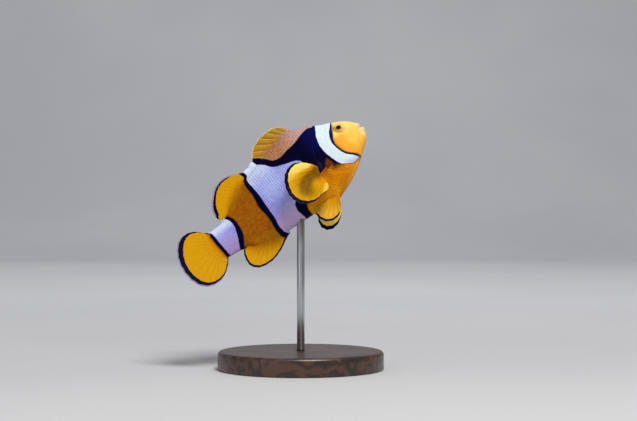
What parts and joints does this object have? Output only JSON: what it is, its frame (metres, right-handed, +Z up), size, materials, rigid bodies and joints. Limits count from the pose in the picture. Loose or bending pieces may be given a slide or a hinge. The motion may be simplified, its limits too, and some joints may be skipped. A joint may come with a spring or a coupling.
{
  "type": "percula clownfish display model",
  "caption": "Life-size percula clownfish swimming head up, fins spread, on a plain round stand with one rod.",
  "frame": {"origin": "centre of the stand base's underside", "axes": "+Z up, the fish heads towards +X and up, with its right side towards -Y and its back leaning to +Y"},
  "size_m": [0.0669, 0.054, 0.081],
  "materials": {
    "skin": "orange scaled skin with black-edged white bars",
    "fins": "yellow-orange rayed fins with black margins",
    "eyes": "clear polished eye with an orange iris",
    "base_wood": "dark stained wood, satin",
    "rod_steel": "fine brushed"
  },
  "bodies": {
    "root": {"head": "skin", "lower_jaw": "skin", "gill_cover_right": "skin", "gill_cover_left": "skin", "trunk": "skin", "tail": "skin", "dorsal_fin_spiny": "fins", "dorsal_fin_soft": "fins", "anal_fin": "fins", "caudal_fin": "fins", "pectoral_fin_right": "fins", "pectoral_fin_left": "fins", "pelvic_fin_right": "fins", "pelvic_fin_left": "fins", "eye_right": "eyes", "eye_left": "eyes", "stand_base": "base_wood", "stand_rod": "rod_steel"}
  },
  "joints": []
}
